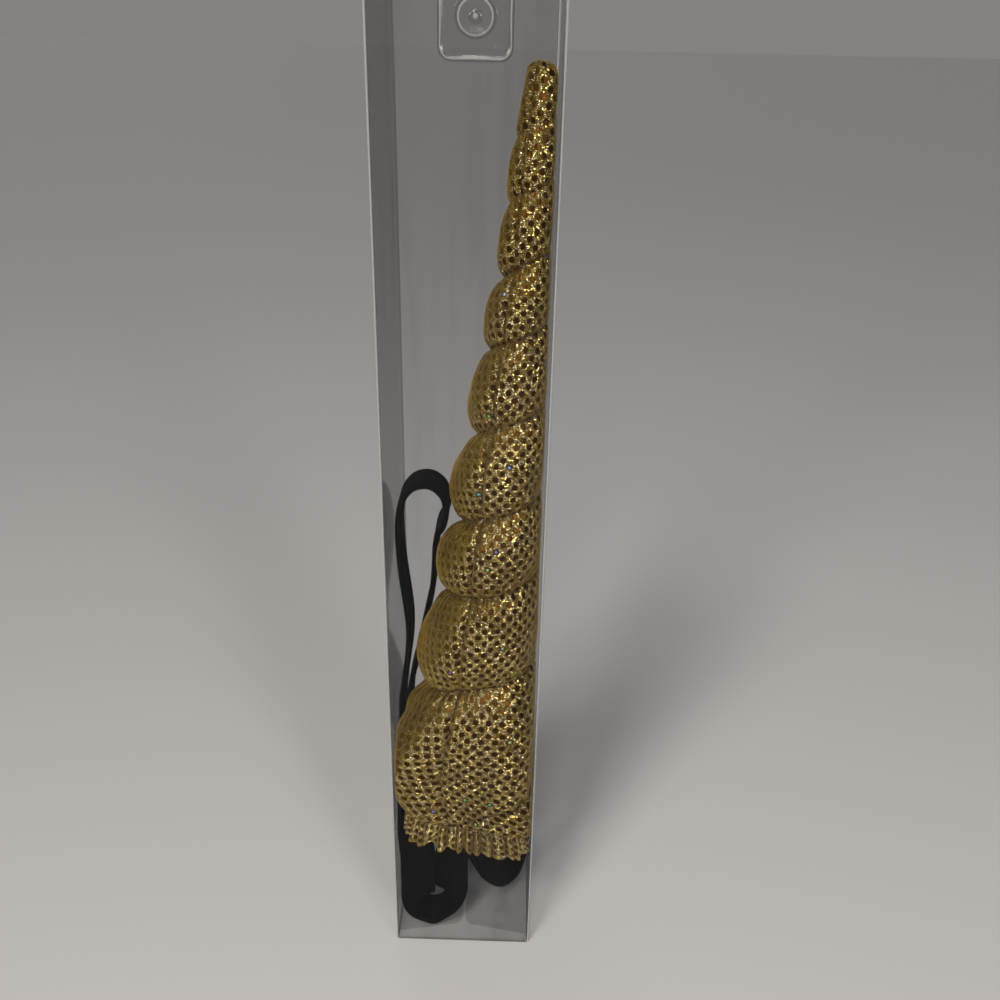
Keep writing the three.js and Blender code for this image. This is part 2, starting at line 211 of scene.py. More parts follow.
def mixColour(tree, x, y, share, first, second, blend="MIX"):
    made = addNode(tree, "ShaderNodeMix", x, y, data_type="RGBA", blend_type=blend)
    feed(tree, share, made.inputs["Factor"])
    feed(tree, first, made.inputs[6])
    feed(tree, second, made.inputs[7])
    return made.outputs[2]


def spread(tree, x, y, value, low, high, toLow=0.0, toHigh=1.0):
    made = addNode(tree, "ShaderNodeMapRange", x, y, interpolation_type="SMOOTHSTEP")
    feed(tree, value, made.inputs["Value"])
    feed(tree, low, made.inputs["From Min"])
    feed(tree, high, made.inputs["From Max"])
    made.inputs["To Min"].default_value = toLow
    made.inputs["To Max"].default_value = toHigh
    return made.outputs["Result"]


def newMaterial(name):
    made = bpy.data.materials.new(name)
    made.use_nodes = True
    tree = made.node_tree
    tree.nodes.clear()
    surface = addNode(tree, "ShaderNodeBsdfPrincipled", 300, 0)
    output = addNode(tree, "ShaderNodeOutputMaterial", 600, 0)
    tree.links.new(surface.outputs["BSDF"], output.inputs["Surface"])
    return made, tree, surface


def newGroup(name, inputs, outputs):
    tree = bpy.data.node_groups.new(name, "ShaderNodeTree")
    for label, kind, value in inputs:
        socket = tree.interface.new_socket(label, in_out="INPUT", socket_type=kind)
        if value is not None:
            socket.default_value = value
    for label, kind in outputs:
        tree.interface.new_socket(label, in_out="OUTPUT", socket_type=kind)
    start = addNode(tree, "NodeGroupInput", -900, 0)
    end = addNode(tree, "NodeGroupOutput", 700, 0)
    return tree, start.outputs, end.inputs


def useGroup(tree, group, x, y, **inputs):
    made = addNode(tree, "ShaderNodeGroup", x, y, node_tree=group)
    for name, value in inputs.items():
        feed(tree, value, made.inputs[name])
    return made.outputs


# Round mirror dots on a square lattice: a mask that is 1 in a dot, and one random number a dot
def makeDotGroup():
    tree, given, result = newGroup(
        "mirrorDots",
        [("Vector", "NodeSocketVector", None), ("Pitch", "NodeSocketFloat", 3.0), ("Radius", "NodeSocketFloat", 0.95)],
        [
            ("Mask", "NodeSocketFloat"),
            ("Core", "NodeSocketFloat"),
            ("Random", "NodeSocketFloat"),
            ("Rim", "NodeSocketFloat"),
        ],
    )
    step = math2(tree, "DIVIDE", -700, 200, 1.0, given["Pitch"])
    level = vector2(tree, "MULTIPLY", -700, 0, given["Vector"], (1.0, 1.0, 0.0))
    lattice = vector2(tree, "SCALE", -520, 100, level, scale=step)
    cell = vector2(tree, "FLOOR", -340, 200, lattice)
    inside = vector2(tree, "SUBTRACT", -160, 100, lattice, cell)
    offset = vector2(tree, "SUBTRACT", 0, 100, inside, (0.5, 0.5, 0.0))
    noise = addNode(tree, "ShaderNodeTexWhiteNoise", -160, 360, noise_dimensions="2D")
    tree.links.new(cell, noise.inputs["Vector"])
    away = math2(tree, "MULTIPLY", 330, 100, vector2(tree, "LENGTH", 160, 100, offset), given["Pitch"])
    past = math2(tree, "SUBTRACT", 500, 100, away, given["Radius"])
    tree.links.new(spread(tree, 560, 260, past, 0.12, -0.12), result["Mask"])
    tree.links.new(spread(tree, 560, 420, past, -0.3, -0.7), result["Core"])
    tree.links.new(noise.outputs["Value"], result["Random"])
    nearRim = math2(tree, "ABSOLUTE", 560, -60, math2(tree, "SUBTRACT", 420, -60, past, 0.28))
    tree.links.new(spread(tree, 700, -160, nearRim, 0.3, 0.0), result["Rim"])
    return tree


# Flakes: cells of random size and tilt, of which a share flashes
def makeFlakeGroup():
    tree, given, result = newGroup(
        "foilFlakes",
        [
            ("Vector", "NodeSocketVector", None),
            ("Size", "NodeSocketFloat", 0.5),
            ("Share", "NodeSocketFloat", 0.2),
            ("Tilt", "NodeSocketFloat", 0.6),
        ],
        [("Mask", "NodeSocketFloat"), ("Random", "NodeSocketColor"), ("Normal", "NodeSocketVector")],
    )
    step = math2(tree, "DIVIDE", -700, 200, 1.0, given["Size"])
    cells = addNode(tree, "ShaderNodeTexVoronoi", -340, 100, voronoi_dimensions="2D", feature="F1")
    tree.links.new(vector2(tree, "SCALE", -520, 100, given["Vector"], scale=step), cells.inputs["Vector"])
    cells.inputs["Scale"].default_value = 1.0
    cells.inputs["Randomness"].default_value = 1.0
    parts = addNode(tree, "ShaderNodeSeparateColor", -160, 260)
    tree.links.new(cells.outputs["Color"], parts.inputs["Color"])
    chosen = math2(tree, "LESS_THAN", 20, 260, parts.outputs["Red"], given["Share"])
    body = spread(tree, 20, 100, cells.outputs["Distance"], 0.5, 0.3)
    mask = math2(tree, "MULTIPLY", 200, 200, chosen, body)
    surface = addNode(tree, "ShaderNodeNewGeometry", -160, -200)
    lean = vector2(tree, "SUBTRACT", 20, -60, cells.outputs["Color"], (0.5, 0.5, 0.5))
    leanBy = vector2(tree, "SCALE", 200, -60, lean, scale=given["Tilt"])
    bent = vector2(tree, "ADD", 380, -100, surface.outputs["Normal"], leanBy)
    tree.links.new(vector2(tree, "NORMALIZE", 540, -100, bent), result["Normal"])
    tree.links.new(mask, result["Mask"])
    tree.links.new(cells.outputs["Color"], result["Random"])
    return tree


mirrorDots = makeDotGroup()
foilFlakes = makeFlakeGroup()

clothLook = {
    "patternSpan": 700.0,  # millimetres of cloth across the whole UV square
    "dotPitch": 3.0,
    "dotRadius": 0.95,
    "cloth": (0.14, 0.085, 0.003, 1),
    # the darker end of the cloth's random tone, and the painted shade between the knit rows
    "clothShade": (0.045, 0.026, 0.001, 1),
    "glint": (1.0, 0.76, 0.22, 1),
    "glintPale": (1.0, 0.91, 0.64, 1),
    # the foil dots' dark colour is a painted reflection of dark surroundings in their mirror foil
    "dot": (0.05, 0.021, 0.002, 1),
    # painted shade: the dark brown laid into the creases, along the seam, at the base and under the horn
    "fold": (0.02, 0.009, 0.002, 1),
    # share of dots with a painted coloured glint
    "flashShare": 0.016,
    "flakeSize": 0.6,
    "knitPitch": 0.6,
    "slack": 1.4,
}


# Gold cloth: a fine knit of gold with bright flakes, and dark round mirrors of foil
def makeClothMaterial(name, flakeShare, glintGain):
    made, tree, surface = newMaterial(name)
    look = clothLook
    uv = addNode(tree, "ShaderNodeUVMap", -2100, 0, uv_map="cloth")
    centred = vector2(tree, "SUBTRACT", -1920, 0, uv.outputs["UV"], (0.5, 0.5, 0.0))
    flat = vector2(tree, "SCALE", -1740, 0, centred, scale=look["patternSpan"])
    slack = addNode(tree, "ShaderNodeTexNoise", -1740, 260, noise_dimensions="2D")
    slack.inputs["Scale"].default_value = 0.045
    slack.inputs["Detail"].default_value = 0.0
    tree.links.new(flat, slack.inputs["Vector"])
    shift = vector2(tree, "SUBTRACT", -1560, 260, slack.outputs["Color"], (0.5, 0.5, 0.5))
    moved = vector2(tree, "ADD", -1400, 100, flat, vector2(tree, "SCALE", -1480, 200, shift, scale=look["slack"]))
    dots = useGroup(
        tree, mirrorDots, -1180, 300, Vector=moved, Pitch=look["dotPitch"], Radius=look["dotRadius"]
    )
    flakes = useGroup(tree, foilFlakes, -1180, -60, Vector=moved, Size=look["flakeSize"], Share=flakeShare, Tilt=1.0)
    fine = useGroup(
        tree, foilFlakes, -1180, -360, Vector=moved, Size=look["flakeSize"] * 0.5, Share=flakeShare * 1.2, Tilt=1.1
    )

    # rows of knit run round the horn
    reach = vector2(tree, "LENGTH", -1180, -700, moved)
    rows = math2(tree, "SINE", -860, -700, math2(tree, "MULTIPLY", -1020, -700, reach, fullTurn / look["knitPitch"]))
    ridge = spread(tree, -700, -700, rows, -1.0, 1.0)

    tone = addNode(tree, "ShaderNodeTexNoise", -1180, 560, noise_dimensions="2D")
    tone.inputs["Scale"].default_value = 0.16
    tone.inputs["Detail"].default_value = 3.0
    tree.links.new(flat, tone.inputs["Vector"])
    # the base colour: random tone of the cloth, and painted shade between the knit rows, lighter on their crests
    high = math2(tree, "MULTIPLY", -1020, 480, tone.outputs[0], math2(tree, "ADD", -1100, 420, ridge, 0.6))
    base = mixColour(tree, -900, 560, high, look["clothShade"], look["cloth"])
    either = math2(tree, "MAXIMUM", -940, -200, flakes["Mask"], fine["Mask"])
    bare = math2(tree, "SUBTRACT", -940, 60, 1.0, dots["Mask"])
    glint = math2(tree, "MULTIPLY", -760, -60, either, bare)
    # painted shade: this mark darkens the colour in the creases, along the seam, at the base and under the horn
    folds = addNode(tree, "ShaderNodeAttribute", -1180, 900, attribute_name="fold")
    # painted shade: where this mark is high the glints go and the dots fade; on the hem it is an even dulling of the
    # foil
    dullAndPaintedShade = addNode(tree, "ShaderNodeAttribute", -1180, 1100, attribute_name="dullAndPaintedShade")
    kept = math2(tree, "SUBTRACT", -1000, 1100, 1.0, dullAndPaintedShade.outputs["Fac"])
    gain = math2(tree, "MULTIPLY", -700, 160, math2(tree, "ADD", -760, 160, dots["Rim"], glintGain), kept)
    lit = math2(tree, "MULTIPLY", -640, -60, glint, gain, clamp=True)
    dotsKept = math2(tree, "SUBTRACT", -800, 1100, 1.0, math2(tree, "MULTIPLY", -900, 1200, dullAndPaintedShade.outputs["Fac"], 0.8))
    foilDots = math2(tree, "MULTIPLY", -640, 240, dots["Mask"], dotsKept)
    flakeColour = mixColour(tree, -760, 300, fine["Mask"], look["glint"], look["glintPale"])
    withGlint = mixColour(tree, -560, 400, lit, base, flakeColour)
    # Painted glints: a few dots get a bright colour of random hue in their middle, sparks of light painted onto the
    # foil
    flash = math2(tree, "LESS_THAN", -760, 760, dots["Random"], look["flashShare"])
    tint = addNode(tree, "ShaderNodeCombineColor", -560, 700, mode="HSV")
    hue = math2(tree, "DIVIDE", -760, 900, dots["Random"], look["flashShare"] / 0.68)
    tree.links.new(math2(tree, "ADD", -660, 900, hue, 0.12), tint.inputs["Red"])
    tint.inputs["Green"].default_value = 0.65
    tint.inputs["Blue"].default_value = 1.0
    flashing = math2(tree, "MULTIPLY", -560, 860, math2(tree, "MULTIPLY", -640, 900, flash, 0.8), dots["Core"])
    dotColour = mixColour(tree, -380, 600, flashing, look["dot"], tint.outputs[0])
    dotted = mixColour(tree, -180, 400, foilDots, withGlint, dotColour)
    tree.links.new(mixColour(tree, 0, 400, folds.outputs["Fac"], dotted, look["fold"]), surface.inputs["Base Color"])
    foil = math2(tree, "MAXIMUM", -340, 120, foilDots, lit)
    metal = math2(tree, "ADD", -180, 120, math2(tree, "MULTIPLY", -260, 120, foil, 0.6), 0.35)
    tree.links.new(metal, surface.inputs["Metallic"])
    rough = math2(tree, "SUBTRACT", -340, -20, 0.5, math2(tree, "MULTIPLY", -500, -20, lit, 0.26))
    smooth = math2(tree, "SUBTRACT", -180, -20, rough, math2(tree, "MULTIPLY", -340, -160, foilDots, 0.2))
    tree.links.new(smooth, surface.inputs["Roughness"])
    sunk = math2(tree, "MULTIPLY", -620, -560, dots["Mask"], -0.8)
    height = math2(tree, "ADD", -380, -480, math2(tree, "MULTIPLY", -540, -420, ridge, bare), sunk)
    bump = addNode(tree, "ShaderNodeBump", 60, -300)
    bump.inputs["Strength"].default_value = 0.6
    bump.inputs["Distance"].default_value = 0.0002
    tree.links.new(height, bump.inputs["Height"])
    tree.links.new(mixVector(tree, -180, -300, lit, flakes["Normal"]), bump.inputs["Normal"])
    tree.links.new(bump.outputs["Normal"], surface.inputs["Normal"])
    surface.inputs["Specular IOR Level"].default_value = 0.2
    surface.inputs["Sheen Weight"].default_value = 0.45
    surface.inputs["Sheen Roughness"].default_value = 0.35
    surface.inputs["Sheen Tint"].default_value = (0.85, 0.53, 0.08, 1)
    return made


# The surface's own normal, turned towards another by a share
def mixVector(tree, x, y, share, other):
    own = addNode(tree, "ShaderNodeNewGeometry", x - 360, y - 120)
    away = vector2(tree, "SUBTRACT", x - 180, y - 60, other, own.outputs["Normal"])
    return vector2(tree, "ADD", x, y, own.outputs["Normal"], vector2(tree, "SCALE", x - 90, y - 120, away, scale=share))


elasticLook = {
    "black": (0.001, 0.0011, 0.0014, 1),
    "fluff": (0.0035, 0.0037, 0.0042, 1),
    "ribs": 8,
    "weavePitch": 0.9,
}


# Black woven elastic: ribs along it, a fine weave across, and a little fluff
def makeElasticMaterial():
    made, tree, surface = newMaterial("blackElastic")
    look = elasticLook
    uv = addNode(tree, "ShaderNodeUVMap", -1200, 0, uv_map="cloth")
    parts = addNode(tree, "ShaderNodeSeparateXYZ", -1020, 0)
    tree.links.new(uv.outputs["UV"], parts.inputs["Vector"])
    across = math2(tree, "MULTIPLY", -840, 100, parts.outputs["X"], look["ribs"] * fullTurn)
    along = math2(tree, "MULTIPLY", -840, -100, parts.outputs["Y"], ribbonLength / look["weavePitch"] * fullTurn)
    ribs = math2(tree, "SINE", -660, 100, across)
    weave = math2(tree, "SINE", -660, -100, along)
    both = math2(tree, "ADD", -480, 0, ribs, math2(tree, "MULTIPLY", -480, -160, weave, 0.5))
    place = addNode(tree, "ShaderNodeTexCoord", -1200, 360)
    fluff = addNode(tree, "ShaderNodeTexNoise", -840, 360)
    fluff.inputs["Scale"].default_value = 900.0
    fluff.inputs["Detail"].default_value = 4.0
    tree.links.new(place.outputs["Object"], fluff.inputs["Vector"])
    fluffOut = fluff.outputs[0]
    tree.links.new(
        mixColour(tree, -300, 300, spread(tree, -480, 300, fluffOut, 0.5, 0.75), look["black"], look["fluff"]),
        surface.inputs["Base Color"],
    )
    bump = addNode(tree, "ShaderNodeBump", 60, -300)
    bump.inputs["Strength"].default_value = 0.18
    bump.inputs["Distance"].default_value = 0.0002
    tree.links.new(math2(tree, "ADD", -200, -200, both, fluffOut), bump.inputs["Height"])
    tree.links.new(bump.outputs["Normal"], surface.inputs["Normal"])
    tree.links.new(spread(tree, -300, -40, fluffOut, 0.2, 0.8, 0.82, 0.95), surface.inputs["Roughness"])
    surface.inputs["Specular IOR Level"].default_value = 0.06
    return made


clearLook = {
    "tint": (0.012, 0.012, 0.012, 1),
    "least": 0.065,
    "ior": 1.28,
    # the creases' colours: painted dark edges, and a pale line that is partly a whitened fold and partly painted
    # highlight
    "creasePaintedShade": (0.09, 0.09, 0.085, 1),
    "creaseWhiteAndHighlight": (0.9, 0.9, 0.88, 1),
    "creasePaintedShadeLeast": 0.3,
    "creaseWhiteAndHighlightLeast": 0.18,
}


# Faint rubs and scratches on clear sheet, as a roughness and a height
def makeScuffGroup():
    tree, given, result = newGroup(
        "sheetScuffs",
        [("Vector", "NodeSocketVector", None)],
        [("Rub", "NodeSocketFloat"), ("Ripple", "NodeSocketFloat")],
    )
    upright = vector2(tree, "MULTIPLY", -580, 100, given["Vector"], (1.0, 1.0, 0.12))
    rub = addNode(tree, "ShaderNodeTexNoise", -400, 100)
    rub.inputs["Scale"].default_value = 90.0
    rub.inputs["Detail"].default_value = 4.0
    tree.links.new(upright, rub.inputs["Vector"])
    ripple = addNode(tree, "ShaderNodeTexNoise", -400, -200)
    ripple.inputs["Scale"].default_value = 14.0
    ripple.inputs["Detail"].default_value = 1.0
    tree.links.new(given["Vector"], ripple.inputs["Vector"])
    tree.links.new(spread(tree, 0, 100, rub.outputs[0], 0.45, 0.8), result["Rub"])
    tree.links.new(ripple.outputs[0], result["Ripple"])
    return tree


sheetScuffs = makeScuffGroup()


# Clear sheet: what isn't mirrored passes straight through, more of it is mirrored at a slant
def makeClearMaterial(name, least, tint, roughness, metallic=0.0):
    made, tree, surface = newMaterial(name)
    place = addNode(tree, "ShaderNodeTexCoord", -900, 0)
    scuffs = useGroup(tree, sheetScuffs, -700, 0, Vector=place.outputs["Object"])
    # a ray that leaves the sheet mirrors as much as one that enters, because none is bent
    side = addNode(tree, "ShaderNodeNewGeometry", -1000, -300)
    turned = math2(tree, "SUBTRACT", -820, -300, 1.0, math2(tree, "MULTIPLY", -900, -420, side.outputs["Backfacing"], 2.0))
    fresnel = addNode(tree, "ShaderNodeFresnel", -500, -300)
    tree.links.new(math2(tree, "POWER", -660, -300, clearLook["ior"], turned), fresnel.inputs["IOR"])
    rubbed = math2(tree, "MULTIPLY", -300, -100, scuffs["Rub"], 0.06)
    mirrored = math2(tree, "ADD", -300, -300, fresnel.outputs[0], least)
    tree.links.new(math2(tree, "ADD", -120, -200, mirrored, rubbed, clamp=True), surface.inputs["Alpha"])
    surface.inputs["Base Color"].default_value = tint
    surface.inputs["Metallic"].default_value = metallic
    surface.inputs["Specular IOR Level"].default_value = 0.6
    rough = spread(tree, -120, 60, scuffs["Rub"], 0.0, 1.0, roughness, roughness + 0.15)
    tree.links.new(rough, surface.inputs["Roughness"])
    bump = addNode(tree, "ShaderNodeBump", 60, -300)
    bump.inputs["Strength"].default_value = 0.08
    bump.inputs["Distance"].default_value = 0.0006
    tree.links.new(scuffs["Ripple"], bump.inputs["Height"])
    tree.links.new(bump.outputs["Normal"], surface.inputs["Normal"])
    return made


clearSheet = makeClearMaterial("clearSheet", clearLook["least"], clearLook["tint"], 0.04)
# painted shade and painted highlight for the creases, in clear sheet
creasePaintedShade = makeClearMaterial("creasePaintedShade", clearLook["creasePaintedShadeLeast"], clearLook["creasePaintedShade"], 0.2, 1.0)
creaseWhiteAndHighlight = makeClearMaterial("creaseWhiteAndHighlight", clearLook["creaseWhiteAndHighlightLeast"], clearLook["creaseWhiteAndHighlight"], 0.35)


# The horn

horn = {
    "baseHeight": 53.0,
    "length": 251.6,
    "tipRadius": 4.1,
    "baseRadius": 27.4,
    "swell": 2.4,
    "tipSwell": 0.9,
    "tipSwellFrom": 0.78,
    "hemRadius": 22.4,
    "hemShift": 4.0,
    "middleY": -4.0,
    "leanBack": 9.0,
    "pressShare": 0.07,
    "baseTilt": 0.2,
    "tilt": 0.085,
    "bulgeFullness": 2.3,
    "depthOnRight": 0.3,
    "undersideShare": 0.09,
    "swellShare": 0.3,
    "tipShare": 0.975,
    "squareUpTo": 0.3,
    "squarePower": 3.0,
    "tiltUpTo": 0.18,
    "softness": 1.5,
    "rows": 372,
    "capRows": 12,
    "underRows": 8,
    "columns": 250,
    "fill": 0.85,
}
crossings = {  # where the winding thread crosses the left side: share of the length, turn, depth
    "share": [0, 0.07, 0.186, 0.335, 0.439, 0.561, 0.672, 0.76, 0.846, 0.918, 1],
    "turn": [0.2, 0.4, 1, 2, 3, 4, 5, 6, 7, 8, 9.2],
    "depth": [0.1, 0.2, 0.36, 0.29, 0.35, 0.34, 0.32, 0.4, 0.2, 0.14, 0.06],
    "pull": [1.6, 1.7, 1.2, 1, 1, 1, 1, 1, 0.7, 0.5, 0.2],
}
seam = {  # the sewn line down the left front
    "baseAngle": math.radians(-104),
    "tipAngle": math.radians(-120),
    "depth": 1.5,
    "halfWidth": 0.9,
    "puckerPitch": 4.2,
    "pucker": 0.4,
}
gathers = {  # what the thread and the stitches pull into the cloth
    "threadDepth": 0.9,
    "threadWidth": 1.1,
    "pucker": 0.55,
    "puckersATurn": 31,
    "puckerReach": 4.2,
    "baseFolds": 37,
    "baseFold": 1.0,
    "baseReach": 7.0,
    "baseDraw": 1.6,
    "lump": 0.45,
}


# A wave with uneven spacing and height: a sine whose phase and strength drift along it
def unevenWave(along, count, seed):
    drift = 1.7 * np.sin(2.3 * along + seed) + 1.1 * np.sin(5.1 * along + 2.1 * seed)
    strength = 0.62 + 0.38 * np.sin(3.7 * along + 4.3 * seed)
    return strength * np.sin(count * along + drift)


# The left leg of the elastic: how far back it stands at a height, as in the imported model
leg = {
    "lowHeight": 1.04 * 53.0,
    "highHeight": 0.525 * 179.5,
    "lowShare": -0.47,
    "highShare": 0.02,
    "halfWidth": 6.5,
    "thickness": 2.0,
    "edgeRoom": 4.4,
    "edgeRun": 3.5,
}


def legDepth(height):
    t = smoothStep((height - leg["lowHeight"]) / (leg["highHeight"] - leg["lowHeight"]))
    return innerHalfDepth * (leg["lowShare"] + (leg["highShare"] - leg["lowShare"]) * t)


# The walls press the stuffing flat, and so does the elastic on the left
def pressByWalls(points, softness):
    x, y, z = points[..., 0], points[..., 1], points[..., 2]
    edge = legDepth(z) - leg["halfWidth"]
    room = smoothStep((y - edge + leg["edgeRoom"] + leg["edgeRun"]) / leg["edgeRun"])
    left = -innerHalfWidth + clearance + room * (leg["thickness"] + 1.9 * clearance)
    x = softLeast(x, innerHalfWidth - clearance, softness)
    x = softMost(x, left, softness)
    y = softMost(y, -innerHalfDepth + clearance, softness)
    return np.stack([x, y, z], axis=-1)


def coneRadius(share):
    cone = horn["baseRadius"] + (horn["tipRadius"] - horn["baseRadius"]) * np.minimum(1, share / horn["tipShare"])
    tip = horn["tipSwell"] * smoothStep((share - horn["tipSwellFrom"]) / (0.92 - horn["tipSwellFrom"]))
    return cone + tip + horn["swell"] * smoothStep(1 - share / horn["swellShare"])


def squareness(share, angle):
    power = 2 + horn["squarePower"] * smoothStep(1 - share / horn["squareUpTo"]) * smoothStep(-2 * np.sin(angle))
    return (np.abs(np.cos(angle)) ** power + np.abs(np.sin(angle)) ** power) ** (-1 / power)


def hornMiddle(share):
    shift = horn["hemShift"] * smoothStep(1 - share / horn["undersideShare"])
    x = innerHalfWidth - clearance - coneRadius(share) * (1 - horn["pressShare"]) + shift
    return x, horn["middleY"] + horn["leanBack"] * share


def tiltAt(share):
    return horn["tilt"] + (horn["baseTilt"] - horn["tilt"]) * smoothStep(1 - share / horn["tiltUpTo"])


# A leaning cone whose radius dips along a rising thread. away is how far a point lies from the
# thread in turns, and from it come the groove and the puckers that cross it. The seam adds a
# narrow groove down one side, and the stitched base its small folds.
def hornPoints(share, angle, closing, round_):
    turn = np.interp(share, crossings["share"], crossings["turn"])
    slope = np.gradient(turn[:, 0], share[:, 0])[:, None]
    depth = np.interp(share, crossings["share"], crossings["depth"])
    crossing = turn - (angle - math.pi) / fullTurn
    away = crossing - np.round(crossing)
    bulge = 1 - (1 - 2 * np.abs(away)) ** horn["bulgeFullness"]
    side = horn["depthOnRight"] + (1 - horn["depthOnRight"]) * (0.5 - 0.5 * np.cos(angle))
    under = np.maximum(0, 1 - share / horn["undersideShare"])
    full = horn["hemRadius"] + (coneRadius(share) - horn["hemRadius"]) * np.sqrt(1 - under * under)
    radius = full * squareness(share, angle) * (1 - depth * side * (1 - bulge))

    fromThread = away / slope * horn["length"]
    along = fullTurn * (turn - away)
    pull = np.interp(share, crossings["share"], crossings["pull"]) * (0.45 + 0.55 * side)
    groove = gathers["threadDepth"] * pull * np.exp(-((fromThread / gathers["threadWidth"]) ** 2))
    fade = np.exp(-((np.abs(fromThread) - 1.2) / gathers["puckerReach"]) ** 2)
    small = np.minimum(1, radius / 20)
    radius += gathers["pucker"] * pull * small * fade * unevenWave(along, gathers["puckersATurn"], 1.3)

    fromSeam = np.minimum(round_, fullTurn - round_) * radius
    height = share * horn["length"]
    groove += seam["depth"] * small * np.exp(-((fromSeam / seam["halfWidth"]) ** 2))
    radius -= groove
    nearSeam = np.exp(-((fromSeam / 3.2) ** 2))
    radius += seam["pucker"] * small * nearSeam * unevenWave(height / seam["puckerPitch"], fullTurn / 1.6, 0.4)

    folds = unevenWave(angle, gathers["baseFolds"], 2.2)
    radius += gathers["baseFold"] * np.exp(-((height / gathers["baseReach"]) ** 2)) * folds
    radius -= gathers["baseDraw"] * np.exp(-((height / 1.8) ** 2))
    # Painted shade: a mark that darkens the colour in the thread's groove, along the seam and at the stitched base
    threadPaintedShade = 0.85 * np.minimum(1, pull) * np.exp(-(((fromThread - 0.2) / 1.0) ** 2))
    seamPaintedShade = 0.5 * np.exp(-((fromSeam / 0.7) ** 2))
    fold = np.maximum(np.maximum(threadPaintedShade, seamPaintedShade), 0.7 * np.exp(-((height / 1.3) ** 2)))
    lumps = np.sin(3.1 * angle + 0.11 * height) * np.sin(0.19 * height + 1.3 * np.sin(2 * angle))
    radius += gathers["lump"] * small * lumps

    radius = radius * closing
    middleX, middleY = hornMiddle(share)
    x = middleX + radius * np.cos(angle)
    y = middleY + radius * np.sin(angle)
    z = horn["baseHeight"] + height - tiltAt(share) * radius * np.cos(angle)
    free = np.stack([x, y, z], axis=-1)
    points = pressByWalls(free, horn["softness"])
    # the thread and the seam still sink in where a wall has pressed the cloth flat
    squeezed = smoothStep(np.linalg.norm(points - free, axis=-1) / 1.2)
    points[..., 0] -= squeezed * closing * groove * np.cos(angle)
    points[..., 1] -= squeezed * closing * groove * np.sin(angle)
    return points, fold


paintedShadeByFacing = {
    "upShare": 0.3,
    "slantShare": 1.5,
    "rightShare": 0.3,
    "from": 0.54,
    "over": 0.42,
    "most": 0.88,
}


# Painted shade: where the surface faces away from the light the glints are taken away and the dots
# faded, as in shade: on the sides that lean on the walls, at the upper left of the bulges and at
# their lower right. It goes by the way the surface faces, which is the cross product of its two
# edges: the share that faces front or back, more where it faces up or right, and more or less by
# the product of the shares that face right and up.
def paintedShadeShare(points):
    along = np.gradient(points, axis=0)
    round_ = np.roll(points, -1, axis=1) - np.roll(points, 1, axis=1)
    facing = np.cross(round_, along)
    facing /= np.maximum(np.linalg.norm(facing, axis=-1, keepdims=True), 1e-9)
    right, up = facing[..., 0], facing[..., 2]
    facingLight = np.abs(facing[..., 1]) + paintedShadeByFacing["upShare"] * up + paintedShadeByFacing["rightShare"] * np.maximum(right, 0)
    facingLight = facingLight + paintedShadeByFacing["slantShare"] * right * up
    return paintedShadeByFacing["most"] * (1 - smoothStep((facingLight - paintedShadeByFacing["from"]) / paintedShadeByFacing["over"]))


# The cloth laid flat: a sector of a cone, which turns the lattice of dots round the horn
patternTurn = {"start": math.radians(-48), "apexBeyond": 44.0}


def clothUv(share, round_):
    reach = horn["length"] * (1 - share) + patternTurn["apexBeyond"]
    opening = horn["baseRadius"] / (horn["length"] + patternTurn["apexBeyond"])
    flat = patternTurn["start"] + round_ * opening
    uv = np.stack([reach * np.sin(flat), -reach * np.cos(flat)], axis=-1)
    return uv / clothLook["patternSpan"] + 0.5


def makeHorn():
    capStart = 1 - horn["tipRadius"] / horn["length"]
    body = np.linspace(0, capStart, horn["rows"] + 1)
    capTurn = np.arange(1, horn["capRows"] + 1) / (horn["capRows"] + 1) * math.pi / 2
    share = np.concatenate([body, capStart + (1 - capStart) * np.sin(capTurn)])
    closing = np.concatenate([np.ones_like(body), np.cos(capTurn)])
    column = np.arange(horn["columns"] + 1)[None, :] / horn["columns"] * fullTurn
    share = share[:, None] + 0 * column
    round_ = column + 0 * share
    seamAngle = seam["baseAngle"] + (seam["tipAngle"] - seam["baseAngle"]) * share
    points, fold = hornPoints(share, seamAngle + round_, closing[:, None], round_)
    points, fold = points[:, :-1], fold[:, :-1]
    uv = clothUv(share, round_)

    # the underside closes inwards from the first row to the middle of the base
    inward = np.linspace(0, 1, horn["underRows"] + 1)[:-1][:, None, None]
    middleX, middleY = hornMiddle(np.array(0.0))
    middle = np.array([middleX, middleY, horn["baseHeight"] + 0.4])
    under = middle + (points[:1] - middle) * inward[1:]
    points = np.concatenate([under, points])
    uvMiddle = np.array([0.5, 0.5])
    uv = np.concatenate([uvMiddle + (uv[:1] - uvMiddle) * (0.96 + 0.04 * inward[1:]), uv])
    tipX, tipY = hornMiddle(np.array(1.0))
    tip = np.array([tipX, tipY, horn["baseHeight"] + horn["length"]])
    mesh = gridMesh("horn_cloth", points, uv, lowPole=middle, highPole=tip)
    # the underside gets painted shade too
    markPoints(mesh, "fold", np.concatenate([np.full((len(under), fold.shape[1]), 0.8), fold]))
    markPoints(mesh, "dullAndPaintedShade", paintedShadeShare(points))
    piece = addPiece("horn_cloth", mesh, "box", ["horn_body"])
    piece.data.materials.append(makeClothMaterial("goldCloth", 0.22, 1.0))
    return piece


hornCloth = makeHorn()
print("horn made:", len(hornCloth.data.polygons), "faces")


# The gathered edge of the cloth below the stitches

hem = {
    "length": 8.7,
    "flare": 1.3,
    "thickness": 0.5,
    "rows": 12,
    "columns": 900,
    "folds": 40,
    "foldDepth": 1.7,
    "edgeDrop": 1.7,
    "draw": 1.7,
    "softness": 1.0,
    "dullAndPaintedShade": 0.5,
}


